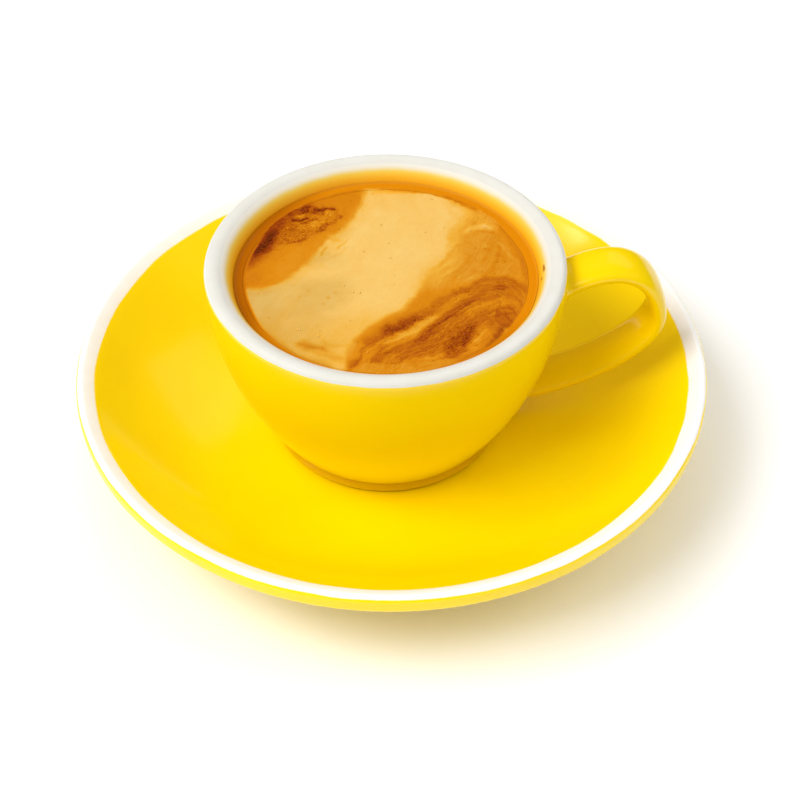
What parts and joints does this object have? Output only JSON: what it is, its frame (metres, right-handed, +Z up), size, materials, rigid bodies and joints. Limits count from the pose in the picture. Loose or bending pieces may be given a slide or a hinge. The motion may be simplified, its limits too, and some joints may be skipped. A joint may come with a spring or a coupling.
{
  "type": "cup of americano",
  "caption": "Round coffee cup with a rolled rim and a strap handle, filled with crema-topped coffee, on a saucer with a rising wall and a foot ring.",
  "frame": {"origin": "centre of the saucer's foot ring, at the level it stands on", "axes": "+Z up through the saucer's axis; +X towards the cup's handle; +Y away from the viewer who has the handle on the right"},
  "size_m": [0.1172, 0.1172, 0.0436],
  "materials": {
    "glaze_yellow": "glossy yellow glaze on stoneware, with white glaze on the rims",
    "coffee_brown": "clear wet liquid",
    "crema_tan": "fine wet foam, marbled from beige to brown"
  },
  "bodies": {
    "root": {"saucer": "glaze_yellow", "cup": "glaze_yellow", "coffee": "coffee_brown", "crema": "crema_tan"}
  },
  "joints": []
}
